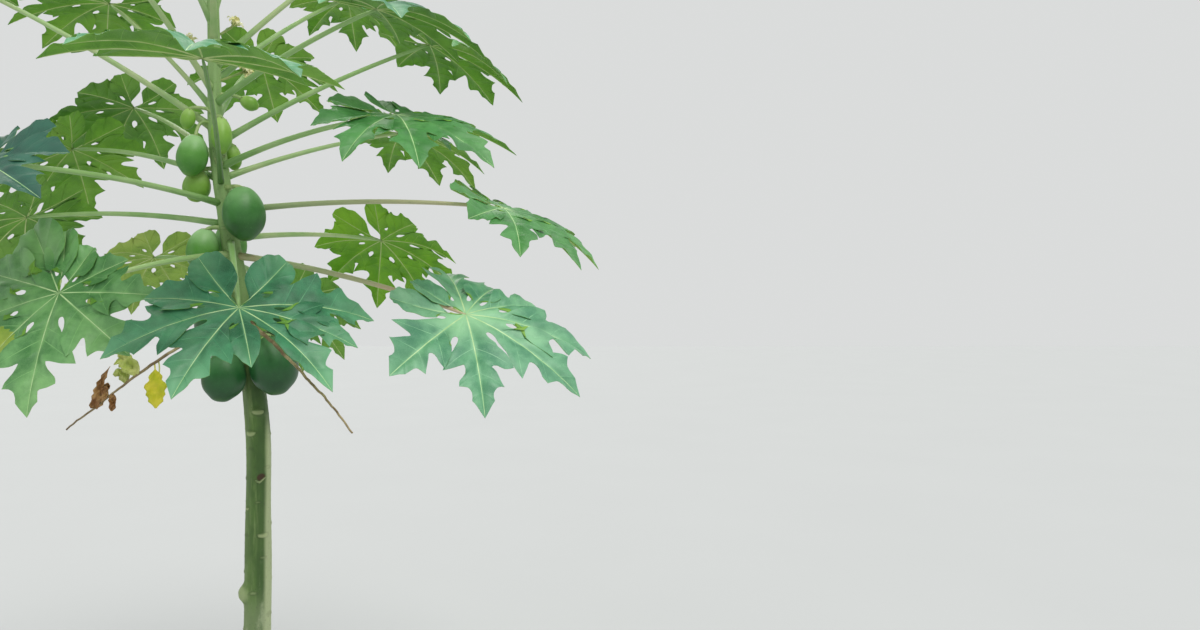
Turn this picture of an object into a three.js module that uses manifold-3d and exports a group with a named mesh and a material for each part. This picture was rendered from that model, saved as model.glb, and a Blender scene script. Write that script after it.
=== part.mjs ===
// A young fruiting papaya tree, about 3 m tall, in millimetres with +Z up.
// The origin is the centre of the flat cut under the trunk, at ground level.
// Azimuth 0 points along +X and 90 along +Y; the side most seen is -Y.
//
// One bare stem carries everything: a column of green fruit in the old leaf axils,
// a crown of long-stalked, nine-lobed leaves above it, and a tuft of young leaves on top.
import * as THREE from "three";
import { mergeVertices } from "three/addons/utils/BufferGeometryUtils.js";
import Module from "manifold-3d";

const wasm = await Module();
wasm.setup();

const UP = new THREE.Vector3(0, 0, 1);
const CLEAR = 0.3; // every stalk stops this far from the trunk
const MERGE = 1e-3; // vertices closer than this are one

// Trunk: a tapering stem that stands straight, then leans towards -X through the crown
const TRUNK = {
  height: 2440,
  lowRadius: 39.5,
  tipRadius: 12,
  flareRadius: 16, // added at the ground, fading upwards
  flareFade: 90,
  lean: 118,
  leanFrom: 1100,
  leanTo: 2100,
  sway: 20, // slow bow along Y
  sides: 12,
  rings: 12,
  tipLength: 30, // the stem closes in this last stretch
};

// Leaf: nine lobes round the stalk's end, the middle one pointing outwards.
// A lobe's margin runs from the cut between two lobes to its tip, as [along, across] in shares
// of its reach: a broad shoulder, a notch, the cheek of the end lobe.
const FULL_MARGIN = [
  [0.63, 0.19],
  [0.65, 0.1],
  [0.8, 0.13],
];
const PLAIN_MARGIN = [
  [0.6, 0.2],
  [0.84, 0.13],
];
const LOBES = [
  { angle: 0, reach: 1, margin: FULL_MARGIN },
  { angle: 37, reach: 0.97, margin: FULL_MARGIN },
  { angle: 75, reach: 0.87, margin: FULL_MARGIN },
  { angle: 113, reach: 0.7, margin: PLAIN_MARGIN },
  { angle: 151, reach: 0.5, margin: PLAIN_MARGIN },
];
const SINUS = 0.38; // depth of the cut between two lobes, as a share of the shorter one
const BASE_SINUS = 0.1; // the cut at the stalk goes nearly to the centre
const RIB = 0.45; // where the midrib bends and the side veins leave it
const LEAF = {
  thickness: 6,
  cup: 0.3, // droop of the lobes towards their tips
  earRise: 0.7, // the lobes beside the stalk fold up along it
  fold: 0.05, // the blade rises from each midrib to its margin
  stalkBase: 9.5,
  stalkEnd: 5.5,
  stalkSwell: 4, // added where the stalk meets the trunk
  stalkArch: 7, // degrees by which a stalk starts steeper than it ends
  stalkSides: 6,
  stalkSteps: 4,
  fullLength: 600, // shorter stalks are thinner in proportion, down to
  thinnest: 0.55,
};

// From the oldest leaf to the youngest. height: where the stalk leaves the trunk; rise and
// length: the stalk; size: the middle lobe; pitch: how far the blade hangs down; spin: turn in
// its own plane; roll: tilt about the middle lobe; middle: share left of a curled middle lobe
const LEAVES = [
  { height: 1615, azimuth: 138, rise: 7, length: 570, size: 260, pitch: 24, spin: 0, roll: 0 },
  { height: 1640, azimuth: 96, rise: -8, length: 620, size: 290, pitch: 42, spin: 0, roll: 0 },
  { height: 1665, azimuth: -17, rise: -13, length: 726, size: 328, pitch: 23, spin: 28, roll: 28 },
  { height: 1670, azimuth: -109, rise: -13, length: 541, size: 272, pitch: 56, spin: 4, roll: 9 },
  { height: 1700, azimuth: -65.5, rise: -17, length: 631, size: 290, pitch: 35, spin: -3, roll: 3, middle: 0.6 },
  { height: 1710, azimuth: 63, rise: 4, length: 620, size: 320, pitch: 28, spin: 0, roll: -8 },
  { height: 1750, azimuth: 169, rise: 3, length: 650, size: 300, pitch: 30, spin: 0, roll: 0 },
  { height: 1785, azimuth: 10, rise: 2, length: 768, size: 320, pitch: 14, spin: 0, roll: 15 },
  { height: 1805, azimuth: -118, rise: 2, length: 620, size: 300, pitch: 30, spin: 0, roll: 0 },
  { height: 1860, azimuth: -69, rise: 10, length: 790, size: 310, pitch: 4, spin: 0, roll: -6 },
  { height: 1874, azimuth: 152, rise: 12, length: 700, size: 305, pitch: 25, spin: 0, roll: 0 },
  { height: 1875, azimuth: 36, rise: 20, length: 560, size: 290, pitch: 10, spin: 0, roll: 0 },
  { height: 1907, azimuth: -28, rise: 7, length: 640, size: 300, pitch: 12, spin: 0, roll: 14 },
  { height: 1925, azimuth: 136, rise: 21, length: 720, size: 300, pitch: 20, spin: 0, roll: 0 },
  { height: 1970, azimuth: 14, rise: 29, length: 660, size: 300, pitch: 12, spin: 0, roll: 0 },
  { height: 2010, azimuth: 192, rise: 30, length: 740, size: 290, pitch: 18, spin: 0, roll: 0 },
  { height: 2030, azimuth: 100, rise: 30, length: 680, size: 300, pitch: 14, spin: 0, roll: 0 },
  { height: 2060, azimuth: 158, rise: 41, length: 540, size: 270, pitch: 2, spin: 0, roll: 0 },
  { height: 2080, azimuth: -28, rise: 16, length: 610, size: 290, pitch: 6, spin: 0, roll: 0 },
  { height: 2110, azimuth: -104, rise: 34, length: 630, size: 285, pitch: 6, spin: 0, roll: 0 },
  { height: 2140, azimuth: 62, rise: 38, length: 640, size: 280, pitch: 4, spin: 0, roll: 0 },
  { height: 2180, azimuth: 12, rise: 42, length: 620, size: 270, pitch: 2, spin: 0, roll: 0 },
  { height: 2220, azimuth: 122, rise: 50, length: 600, size: 260, pitch: 0, spin: 0, roll: 0 },
  { height: 2250, azimuth: -66, rise: 54, length: 590, size: 250, pitch: -4, spin: 0, roll: 0 },
  { height: 2292, azimuth: 205, rise: 60, length: 560, size: 235, pitch: -8, spin: 0, roll: 0 },
  { height: 2325, azimuth: 42, rise: 68, length: 510, size: 200, pitch: -18, spin: 0, roll: 0 },
  { height: 2360, azimuth: -88, rise: 76, length: 400, size: 150, pitch: -35, spin: 0, roll: 0 },
  { height: 2400, azimuth: 150, rise: 80, length: 270, size: 95, pitch: -50, spin: 0, roll: 0 },
];

// Fruit: height is that of its middle; gap is the extra space between it and the trunk
const FRUITS = [
  { height: 1322, azimuth: -122, width: 112, length: 142, gap: 3 },
  { height: 1368, azimuth: -32, width: 128, length: 156, gap: 3 },
  { height: 1372, azimuth: 62, width: 116, length: 150, gap: 3 },
  { height: 1438, azimuth: 154, width: 104, length: 138, gap: 3 },
  { height: 1492, azimuth: -118, width: 114, length: 146, gap: 3 },
  { height: 1520, azimuth: 30, width: 110, length: 140, gap: 3 },
  { height: 1556, azimuth: 98, width: 90, length: 112, gap: 4 },
  { height: 1680, azimuth: -152, width: 86, length: 114, gap: 4 },
  { height: 1704, azimuth: 113, width: 92, length: 118, gap: 4 },
  { height: 1778, azimuth: -36, width: 111, length: 143, gap: 8 },
  { height: 1857, azimuth: 188, width: 73, length: 84, gap: 5 },
  { height: 1934, azimuth: -132, width: 80, length: 110, gap: 8 },
  { height: 1990, azimuth: -52, width: 56, length: 98, gap: 4 },
  { height: 1945, azimuth: 58, width: 46, length: 70, gap: 4 },
  { height: 2032, azimuth: -138, width: 38, length: 56, gap: 32 },
  { height: 2092, azimuth: 20, width: 40, length: 50, gap: 50 },
];
const FRUIT = { sides: 9, splay: 10, stalkRadius: 6, stalkSides: 4, stalkRise: 12 };
// Half width of a fruit against its length, from the blossom end up to the stalk
const FRUIT_OUTLINE = [
  [0, 0],
  [0.42, 0.05],
  [0.86, 0.23],
  [1, 0.46],
  [0.86, 0.74],
  [0.42, 0.94],
  [0, 1],
];

// Flower: a short stalk with a five-petalled star
const FLOWERS = [
  { height: 2140, azimuth: 14, stalk: 62, rise: 25 },
  { height: 2200, azimuth: -150, stalk: 45, rise: 35 },
  { height: 2262, azimuth: 20, stalk: 42, rise: 38 },
];
const FLOWER = { petals: 5, span: 19, throat: 6, depth: 3, tube: 16, tubeRadius: 4.5, stalkRadius: 3 };

// Bare stalks of dropped leaves, dry and hanging
const DRY_STALKS = [
  { height: 1490, azimuth: -48, rise: -21, length: 700 },
  { height: 1512, azimuth: 196, rise: -36, length: 535 },
];
const DRY_THINNING = 0.75;

const MATERIALS = {
  bark: { color: 0x7f9466, roughness: 0.75 },
  leaf: { color: 0x4f8f5c, roughness: 0.55 },
  fruit: { color: 0x4c8a50, roughness: 0.4 },
  flower: { color: 0xe9e2a0, roughness: 0.6 },
  dry: { color: 0xa08d68, roughness: 0.85 },
};

const radians = THREE.MathUtils.degToRad;

function direction(azimuth, rise) {
  const a = radians(azimuth);
  const e = radians(rise);
  return new THREE.Vector3(Math.cos(a) * Math.cos(e), Math.sin(a) * Math.cos(e), Math.sin(e));
}

// The trunk's centre and radius at a height
function trunkCentre(z) {
  const lean = TRUNK.lean * THREE.MathUtils.smoothstep(z, TRUNK.leanFrom, TRUNK.leanTo);
  return new THREE.Vector3(-lean, TRUNK.sway * Math.sin((Math.PI * z) / TRUNK.height), z);
}

function trunkRadius(z) {
  const t = z / TRUNK.height;
  const taper = TRUNK.tipRadius + (TRUNK.lowRadius - TRUNK.tipRadius) * (1 - t * t);
  return taper + TRUNK.flareRadius * Math.exp(-z / TRUNK.flareFade);
}

// Ring heights: close together in the root flare, even above it, and a dome at the tip
function trunkHeight(ring) {
  const t = ring / TRUNK.rings;
  return TRUNK.height * (0.25 * t * t + 0.75 * t ** 1.2);
}

function trunkGeometry(extra) {
  const geometry = new THREE.CylinderGeometry(1, 1, 1, TRUNK.sides, TRUNK.rings);
  const place = geometry.getAttribute("position");
  const grown = extra / Math.cos(Math.PI / TRUNK.sides);
  for (let i = 0; i < place.count; i++) {
    const t = place.getY(i) + 0.5;
    const z = trunkHeight(t * TRUNK.rings);
    const closing = Math.min(1, (TRUNK.height - z) / TRUNK.tipLength);
    const radius = trunkRadius(z) * (0.45 + 0.55 * Math.sqrt(closing)) + grown;
    const centre = trunkCentre(z);
    const reach = extra && (t === 0 || t === 1) ? extra * (t ? 1 : -1) : 0;
    place.setXYZ(i, centre.x + radius * place.getZ(i), centre.y + radius * place.getX(i), z + reach);
  }
  return geometry;
}

// A cylinder bent along a curve, with its own radius at each step
function bentTube(curve, radiusAt, sides, steps) {
  const geometry = new THREE.CylinderGeometry(1, 1, 1, sides, steps);
  const place = geometry.getAttribute("position");
  for (let i = 0; i < place.count; i++) {
    const t = THREE.MathUtils.clamp(place.getY(i) + 0.5, 0, 1);
    const tangent = curve.getTangent(t);
    const side = new THREE.Vector3().crossVectors(UP, tangent).normalize();
    const other = new THREE.Vector3().crossVectors(side, tangent);
    const radius = radiusAt(t);
    const point = curve
      .getPoint(t)
      .addScaledVector(side, radius * place.getX(i))
      .addScaledVector(other, radius * place.getZ(i));
    place.setXYZ(i, point.x, point.y, point.z);
  }
  return geometry;
}

function solid(geometry) {
  const bare = new THREE.BufferGeometry();
  const flat = geometry.index ? geometry.toNonIndexed() : geometry;
  bare.setAttribute("position", flat.getAttribute("position"));
  const merged = mergeVertices(bare, MERGE);
  return new wasm.Manifold(
    new wasm.Mesh({
      numProp: 3,
      vertProperties: new Float32Array(merged.getAttribute("position").array),
      triVerts: new Uint32Array(merged.index.array),
    }),
  );
}

function geometryOf(manifold) {
  const mesh = manifold.getMesh();
  const geometry = new THREE.BufferGeometry();
  geometry.setAttribute("position", new THREE.BufferAttribute(mesh.vertProperties, mesh.numProp));
  geometry.setIndex(new THREE.BufferAttribute(mesh.triVerts, 1));
  return geometry;
}

// A stalk from the trunk's axis: it starts a little steeper than the straight line to its end
function stalkCurve(spec, arch) {
  const start = trunkCentre(spec.height);
  const end = start.clone().addScaledVector(direction(spec.azimuth, spec.rise), spec.length);
  const steep = direction(spec.azimuth, spec.rise + arch);
  const middle = start.clone().addScaledVector(steep, spec.length / 2);
  return new THREE.QuadraticBezierCurve3(start, middle, end);
}

function stalkSolid(spec, thin) {
  const swellLength = 0.08;
  const radiusAt = (t) => {
    const taper = THREE.MathUtils.lerp(LEAF.stalkBase, LEAF.stalkEnd, t);
    return thin * (taper + LEAF.stalkSwell * Math.exp(-t / swellLength));
  };
  return solid(bentTube(stalkCurve(spec, LEAF.stalkArch), radiusAt, LEAF.stalkSides, LEAF.stalkSteps));
}

// The blade's own axes: x along the middle lobe, y to its left, z out of the upper face
function bladeMatrix(leaf) {
  const along = direction(leaf.azimuth, -leaf.pitch);
  const across = direction(leaf.azimuth + 90, 0);
  const normal = new THREE.Vector3().crossVectors(along, across);
  const frame = new THREE.Matrix4().makeBasis(along, across, normal);
  frame.multiply(new THREE.Matrix4().makeRotationX(radians(leaf.roll)));
  frame.multiply(new THREE.Matrix4().makeRotationZ(radians(leaf.spin)));
  return frame.setPosition(stalkCurve(leaf, LEAF.stalkArch).getPoint(1));
}

// Height of the blade over its flat outline: it droops outwards, its ears fold up beside the
// stalk, and it rises from each midrib to its margin
function bladeLift(x, y, margin) {
  const out = Math.hypot(x, y);
  const ear = Math.min(0, x);
  return LEAF.fold * margin * Math.min(1, 2.5 * out) - LEAF.cup * out * out + LEAF.earRise * ear * ear;
}

// One flank of a lobe, between its midrib and the cut on one side of it. turn is +1 where the
// cut lies anticlockwise of the midrib; cut is the cut's angle and depth.
function lobeFlank(angle, lobe, turn, cut) {
  const a = radians(angle);
  const place = (along, across) => {
    const x = along * lobe.reach;
    const y = turn * across * lobe.reach;
    return [x * Math.cos(a) - y * Math.sin(a), x * Math.sin(a) + y * Math.cos(a)];
  };
  const c = radians(cut.angle);
  return {
    turn,
    rib: place(RIB, 0),
    tip: place(1, 0),
    margin: [
      [cut.depth * Math.cos(c), cut.depth * Math.sin(c)],
      ...lobe.margin.map(([along, across]) => place(along, across)),
    ],
  };
}

// Every flank of a leaf: each lobe and its mirror image, each with a cut before and after it
function leafFlanks(leaf) {
  const lobes = LOBES.map((lobe, i) => (i ? lobe : { ...lobe, reach: lobe.reach * (leaf.middle ?? 1) }));
  const flanks = [];
  for (const side of [1, -1])
    lobes.forEach((lobe, i) => {
      const outer = lobes[i + 1];
      const after = outer
        ? { angle: (lobe.angle + outer.angle) / 2, depth: SINUS * outer.reach }
        : { angle: 180, depth: BASE_SINUS };
      flanks.push(lobeFlank(side * lobe.angle, lobe, side, { angle: side * after.angle, depth: after.depth }));
      if (i === 0) return;
      const before = { angle: (side * (lobe.angle + lobes[i - 1].angle)) / 2, depth: SINUS * lobe.reach };
      flanks.push(lobeFlank(side * lobe.angle, lobe, -side, before));
    });
  return flanks;
}

// The faces of a flank's upper side, as a fan strip between the rib and the margin
function flankFaces(centre, rib, tip, margin) {
  const [cut, shoulder, ...rest] = margin;
  const faces = [
    [centre, rib, cut],
    [rib, shoulder, cut],
  ];
  let last = shoulder;
  for (const point of rest) {
    faces.push([rib, point, last]);
    last = point;
  }
  faces.push([rib, tip, last]);
  return faces;
}

function bladeSolid(leaf) {
  const corners = [];
  const triangle = (turn, a, b, c) => corners.push(...a, ...(turn > 0 ? b : c), ...(turn > 0 ? c : b));
  const raise = ([x, y], margin) => [x * leaf.size, y * leaf.size, bladeLift(x, y, margin) * leaf.size];
  const below = ([x, y, z]) => [x, y, z - LEAF.thickness];

  for (const flank of leafFlanks(leaf)) {
    const margin = flank.margin.map((point) => raise(point, 1));
    const tip = raise(flank.tip, 0);
    for (const [a, b, c] of flankFaces([0, 0, 0], raise(flank.rib, 0), tip, margin)) {
      triangle(flank.turn, a, b, c);
      triangle(flank.turn, below(a), below(c), below(b));
    }
    const rim = [...margin, tip];
    rim.slice(1).forEach((q, i) => {
      triangle(flank.turn, rim[i], q, below(q));
      triangle(flank.turn, rim[i], below(q), below(rim[i]));
    });
  }
  const geometry = new THREE.BufferGeometry();
  geometry.setAttribute("position", new THREE.Float32BufferAttribute(corners, 3));
  return solid(geometry.applyMatrix4(bladeMatrix(leaf)));
}

function leafSolid(leaf) {
  const thin = THREE.MathUtils.clamp(leaf.length / LEAF.fullLength, LEAF.thinnest, 1);
  return stalkSolid(leaf, thin).add(bladeSolid(leaf));
}

// A hanging fruit: its stalk end leans in to the trunk, and a short stalk holds it
function fruitSolid(fruit) {
  const out = direction(fruit.azimuth, 0);
  const half = fruit.width / 2;
  const distance = trunkRadius(fruit.height) + half + fruit.gap;
  const centre = trunkCentre(fruit.height).addScaledVector(out, distance);
  const profile = FRUIT_OUTLINE.map(([x, y]) => new THREE.Vector2(x * half, (y - 0.5) * fruit.length));
  const across = new THREE.Vector3().crossVectors(out, UP).normalize();
  const lean = new THREE.Quaternion().setFromAxisAngle(across, radians(FRUIT.splay));
  const body = new THREE.LatheGeometry(profile, FRUIT.sides);
  body.rotateX(Math.PI / 2);
  body.applyQuaternion(lean);
  body.translate(centre.x, centre.y, centre.z);

  const top = new THREE.Vector3(0, 0, 0.46 * fruit.length).applyQuaternion(lean).add(centre);
  const root = trunkCentre(top.z + FRUIT.stalkRise);
  const middle = root.clone().lerp(top, 0.6).addScaledVector(UP, FRUIT.stalkRise);
  const stalk = new THREE.QuadraticBezierCurve3(root, middle, top);
  const thickness = FRUIT.stalkRadius * Math.min(1, fruit.width / 80 + 0.3);
  return solid(body).add(solid(bentTube(stalk, () => thickness, FRUIT.stalkSides, 2)));
}

function starShape() {
  const shape = new THREE.Shape();
  for (let i = 0; i < 2 * FLOWER.petals; i++) {
    const a = (Math.PI * i) / FLOWER.petals;
    const reach = i % 2 ? FLOWER.throat : FLOWER.span;
    if (i) shape.lineTo(reach * Math.cos(a), reach * Math.sin(a));
    else shape.moveTo(reach, 0);
  }
  shape.closePath();
  return shape;
}

function flowerSolid(flower) {
  const curve = stalkCurve({ ...flower, length: trunkRadius(flower.height) + flower.stalk }, 0);
  const stalk = solid(bentTube(curve, () => FLOWER.stalkRadius, 5, 1));
  const tube = new THREE.CylinderGeometry(FLOWER.tubeRadius * 1.3, FLOWER.tubeRadius, FLOWER.tube, 6);
  tube.rotateX(Math.PI / 2);
  tube.translate(0, 0, FLOWER.tube / 2 - 3);
  const star = new THREE.ExtrudeGeometry(starShape(), { depth: FLOWER.depth, bevelEnabled: false, steps: 1 });
  star.translate(0, 0, FLOWER.tube - 5);
  const towards = new THREE.Quaternion().setFromUnitVectors(UP, direction(flower.azimuth, flower.rise));
  const place = new THREE.Matrix4().compose(curve.getPoint(1), towards, new THREE.Vector3(1, 1, 1));
  const head = solid(tube.applyMatrix4(place)).add(solid(star.applyMatrix4(place)));
  return stalk.add(head);
}

const tree = new THREE.Group();

function addPart(name, shape, look) {
  const material = new THREE.MeshStandardMaterial({ ...MATERIALS[look], metalness: 0 });
  const mesh = new THREE.Mesh(geometryOf(shape), material);
  mesh.name = name;
  tree.add(mesh);
}

// Stalks run in to the trunk's axis and are cut back to stand clear of it; a sliver that the
// cut leaves beside a steep stalk is dropped
const grownTrunk = solid(trunkGeometry(CLEAR));

function clearOfTrunk(shape) {
  const bodies = shape.subtract(grownTrunk).decompose();
  return bodies.reduce((most, body) => (body.volume() > most.volume() ? body : most));
}

function addRow(name, specs, make, look) {
  specs.forEach((spec, i) => {
    addPart(`${name}_${String(i + 1).padStart(2, "0")}`, clearOfTrunk(make(spec)), look);
  });
}

addPart("trunk", solid(trunkGeometry(0)), "bark");
addRow("leaf", LEAVES, leafSolid, "leaf");
addRow("fruit", FRUITS, fruitSolid, "fruit");
addRow("flower", FLOWERS, flowerSolid, "flower");
addRow("dry_stalk", DRY_STALKS, (spec) => stalkSolid(spec, DRY_THINNING), "dry");

export default tree;
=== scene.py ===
from math import atan2, cos, hypot, pi, radians, sin, sqrt
import bmesh
import bpy
import numpy as np
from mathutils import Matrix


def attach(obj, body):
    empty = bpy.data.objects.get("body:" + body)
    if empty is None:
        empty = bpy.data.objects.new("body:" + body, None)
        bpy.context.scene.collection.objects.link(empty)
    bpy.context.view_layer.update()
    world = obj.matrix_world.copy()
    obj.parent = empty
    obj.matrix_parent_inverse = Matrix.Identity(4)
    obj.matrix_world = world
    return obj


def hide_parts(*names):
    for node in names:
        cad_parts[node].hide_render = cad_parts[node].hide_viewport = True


# A young papaya tree in fruit: its bark, leaves, fruit, flowers and dry stalks in fine detail,
# each in the place of the plain solid it stands for. Metres, +Z up, the most seen side is -Y.

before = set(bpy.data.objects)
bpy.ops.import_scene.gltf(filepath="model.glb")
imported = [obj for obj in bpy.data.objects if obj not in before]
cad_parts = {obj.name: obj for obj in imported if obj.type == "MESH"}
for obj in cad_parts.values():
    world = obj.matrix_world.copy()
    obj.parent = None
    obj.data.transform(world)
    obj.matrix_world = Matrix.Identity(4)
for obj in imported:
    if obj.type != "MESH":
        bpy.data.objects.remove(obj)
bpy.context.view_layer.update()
print("frame loaded:", len(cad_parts), "nodes")


def mathsOf(operation, swap=False):  # an operator that adds a Math node
    def act(wire, other):
        values = (other, wire) if swap else (wire, other)
        return wire.paint.add("Math", dict(enumerate(values)), operation=operation)
    return act


class Wire:  # an output socket, for use in sums
    def __init__(self, paint, socket):
        self.paint, self.socket = paint, socket

    __add__ = __radd__ = mathsOf("ADD")
    __mul__ = __rmul__ = mathsOf("MULTIPLY")
    __sub__, __rsub__ = mathsOf("SUBTRACT"), mathsOf("SUBTRACT", swap=True)

    def above(self, low, high):  # 0 at low, 1 at high, smooth
        values = {"Value": self, "From Min": low, "From Max": high}
        return self.paint.add("MapRange", values, interpolation_type="SMOOTHSTEP")

    def below(self, low, high):  # 1 at low, 0 at high, smooth
        return 1 - self.above(low, high)

    def axis(self, n):  # one part of a vector
        return self.paint.add("SeparateXYZ", {"Vector": self}, n)


def tone(red, green, blue):  # a display colour, 0 to 255, as the linear one that shaders use
    shares = np.array([red, green, blue]) / 255
    linear = np.where(shares <= 0.04045, shares / 12.92, ((shares + 0.055) / 1.055) ** 2.4)
    return (*linear.tolist(), 1.0)


class Paint:  # a material and the ways to add nodes to it
    def __init__(self, name):
        self.material = bpy.data.materials.new(name)
        self.material.use_nodes = True
        self.tree = self.material.node_tree

    def add(self, kind, values, output=0, **settings):  # a node: its settings, then its sockets
        node = self.tree.nodes.new("ShaderNode" + kind)
        for key, value in settings.items():
            setattr(node, key, value)
        for key, value in values.items():
            self.join(node.inputs[key], value)
        return Wire(self, node.outputs[output])

    def join(self, socket, value):  # links a wire, or sets a plain value
        if isinstance(value, Wire):
            self.tree.links.new(value.socket, socket)
        else:
            socket.default_value = value

    def spot(self, stretch=(1, 1, 1)):  # object coordinates, stretched
        return self.add("Mapping", {"Vector": self.add("TexCoord", {}, 3), "Scale": stretch})

    def surface(self):  # the two coordinates of the piece's own UV map
        uv = self.add("UVMap", {}, uv_map="UVMap")
        return uv.axis(0), uv.axis(1)

    def noise(self, scale, detail, rough, stretch=(1, 1, 1)):  # soft blotches, 0 to 1
        values = {"Vector": self.spot(stretch), "Scale": scale, "Detail": detail, "Roughness": rough}
        return self.add("TexNoise", values)

    def cells(self, scale, feature="F1"):  # how far to the middle, or the edge, of cells
        return self.add("TexVoronoi", {"Vector": self.spot(), "Scale": scale}, feature=feature)

    def attribute(self, name):  # a value that the mesh has at its points
        return self.add("Attribute", {}, 2, attribute_name=name)

    def coats(self, base, *coats):  # colours laid over a base, each with its share
        for share, colour in coats:
            under, over = (c if isinstance(c, Wire) else tone(*c) for c in (base, colour))
            base = self.add("Mix", {0: share, 6: under, 7: over}, 2, data_type="RGBA")
        return base

    def finish(self, base, rough, relief=None, depth=0, strength=0):  # the material, with its relief
        looks = {"Base Color": base, "Roughness": rough}
        if relief:
            looks["Normal"] = self.add("Bump", {"Height": relief, "Distance": depth, "Strength": strength})
        for name, value in looks.items():
            self.join(self.tree.nodes["Principled BSDF"].inputs[name], value)
        return self.material


def placeObject(name, data):  # an object at the origin
    thing = bpy.data.objects.new(name, data)
    bpy.context.scene.collection.objects.link(thing)
    return thing


# A grid of points as quads that turn to the left, closed round where it wraps
def gridPart(rows, look=0, uv=None, wrap=True, flip=False, **values):
    count, columns = rows.shape[:2]
    r, c = np.meshgrid(np.arange(count - 1), np.arange(columns if wrap else columns - 1), indexing="ij")
    near, far, n = r * columns, (r + 1) * columns, (c + 1) % columns
    quads = np.stack([near + c, near + n, far + n, far + c], -1).reshape(-1, 4)
    return {"points": rows.reshape(-1, 3), "quads": quads[:, ::-1] if flip else quads,
            "looks": np.broadcast_to(look, len(quads)), "values": values,
            "uv": np.zeros((count * columns, 2)) if uv is None else uv}


# Parts become one mesh: points that fall together are joined, so seams and poles are closed
def makePiece(name, parts, materials, nodes, weld=2e-6, sharpRim=False):
    starts = np.cumsum([0] + [len(p["points"]) for p in parts])
    quads = np.concatenate([p["quads"] + s for p, s in zip(parts, starts)])
    points, looks, uv = (np.concatenate([p[key] for p in parts]) for key in ("points", "looks", "uv"))
    mesh = bpy.data.meshes.new(name)
    mesh.from_pydata(points.tolist(), [], quads.tolist())
    mesh.polygons.foreach_set("material_index", looks.astype(np.int32))
    mesh.shade_smooth()
    mesh.uv_layers.new(name="UVMap").data.foreach_set("uv", uv[quads.ravel()].astype(np.float32).ravel())
    for key in parts[0]["values"]:
        field = np.concatenate([p["values"][key] for p in parts]).astype(np.float32)
        mesh.attributes.new(key, "FLOAT", "POINT").data.foreach_set("value", field)
    work = bmesh.new()
    work.from_mesh(mesh)
    bmesh.ops.remove_doubles(work, verts=work.verts, dist=weld)
    for edge in work.edges:
        edge.smooth = not (sharpRim and edge.is_boundary)
    work.to_mesh(mesh)
    work.free()
    for material in materials:
        mesh.materials.append(material)
    piece = placeObject(name, mesh)
    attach(piece, "root")
    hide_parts(*nodes)
    return piece


# A thin closed shape from two facing grids: each row is a loop over the front and back under the
# back, and the first and last rows are pinched shut
def closedSheet(front, back, look=0, flip=False):
    middle = (front + back) / 2
    loops, shut = (np.concatenate([a, b[:, ::-1]], 1) for a, b in ((front, back), (middle, middle)))
    return gridPart(np.concatenate([shut[:1], loops, shut[-1:]]), look, flip=flip)


def doubleEnds(rows):  # the first and the last row twice
    return np.concatenate([rows[:1], rows, rows[-1:]])


def ringUv(turns, levels):  # the share of a turn, and the level
    return np.stack(np.broadcast_arrays(turns[None] / (2 * pi), levels[:, None]), -1).reshape(-1, 2)


up = np.array([0.0, 0.0, 1.0])


def circle(sides):  # angles round a full turn
    return np.linspace(0, 2 * pi, sides, endpoint=False)


def strips(rows, columns):  # 0 to 1 down the rows and -1 to 1 across the columns
    return np.linspace(0, 1, rows)[:, None], np.linspace(-1, 1, columns)[None, :]


def bell(*terms, power=1):  # 1 in the middle, falling with the sum of the squares
    return np.exp(-(sum(term**2 for term in terms) ** power))


def direction(azimuth, rise):  # a unit vector: the turn round +Z and the angle above level
    a, e = radians(azimuth), radians(rise)
    return np.array([cos(a) * cos(e), sin(a) * cos(e), sin(e)])


def unit(vectors):  # each over its own length
    return vectors / np.linalg.norm(vectors, axis=-1, keepdims=True)


def bezier(start, middle, end, t):  # a quadratic curve and its unit tangent
    t = np.asarray(t, float)[:, None]
    point = (1 - t) ** 2 * start + 2 * t * (1 - t) * middle + t**2 * end
    return point, unit((1 - t) * (middle - start) + t * (end - middle))


# A tube: circles of the given radii (one for all, for each point, or for each point and side)
# carried along a path, square to it, and closed by shrinking the first and last to a point
def tube(path, tangents, radii, sides, look=0, lengths=None):
    tangents = np.broadcast_to(tangents, path.shape)
    side = unit(np.cross(up, tangents))
    other = np.cross(tangents, side)
    a = circle(sides)
    radii = np.broadcast_to(np.transpose(radii), (sides, len(path))).T
    ring = side[:, None] * np.cos(a)[None, :, None] + other[:, None] * np.sin(a)[None, :, None]
    first, last = (np.repeat(end[None, None], sides, 1) for end in (path[0], path[-1]))
    t = np.linspace(0, 1, len(path)) if lengths is None else lengths
    rows = np.concatenate([first, path[:, None] + ring * radii[:, :, None], last])
    return gridPart(rows, look, ringUv(a, doubleEnds(t)))


def numbered(kind, rows, seed):  # each row with its number, node and random draws
    for n, row in enumerate(rows, 1):
        yield n, f"{kind}_{n:02d}", np.random.default_rng(seed + n), row


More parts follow.
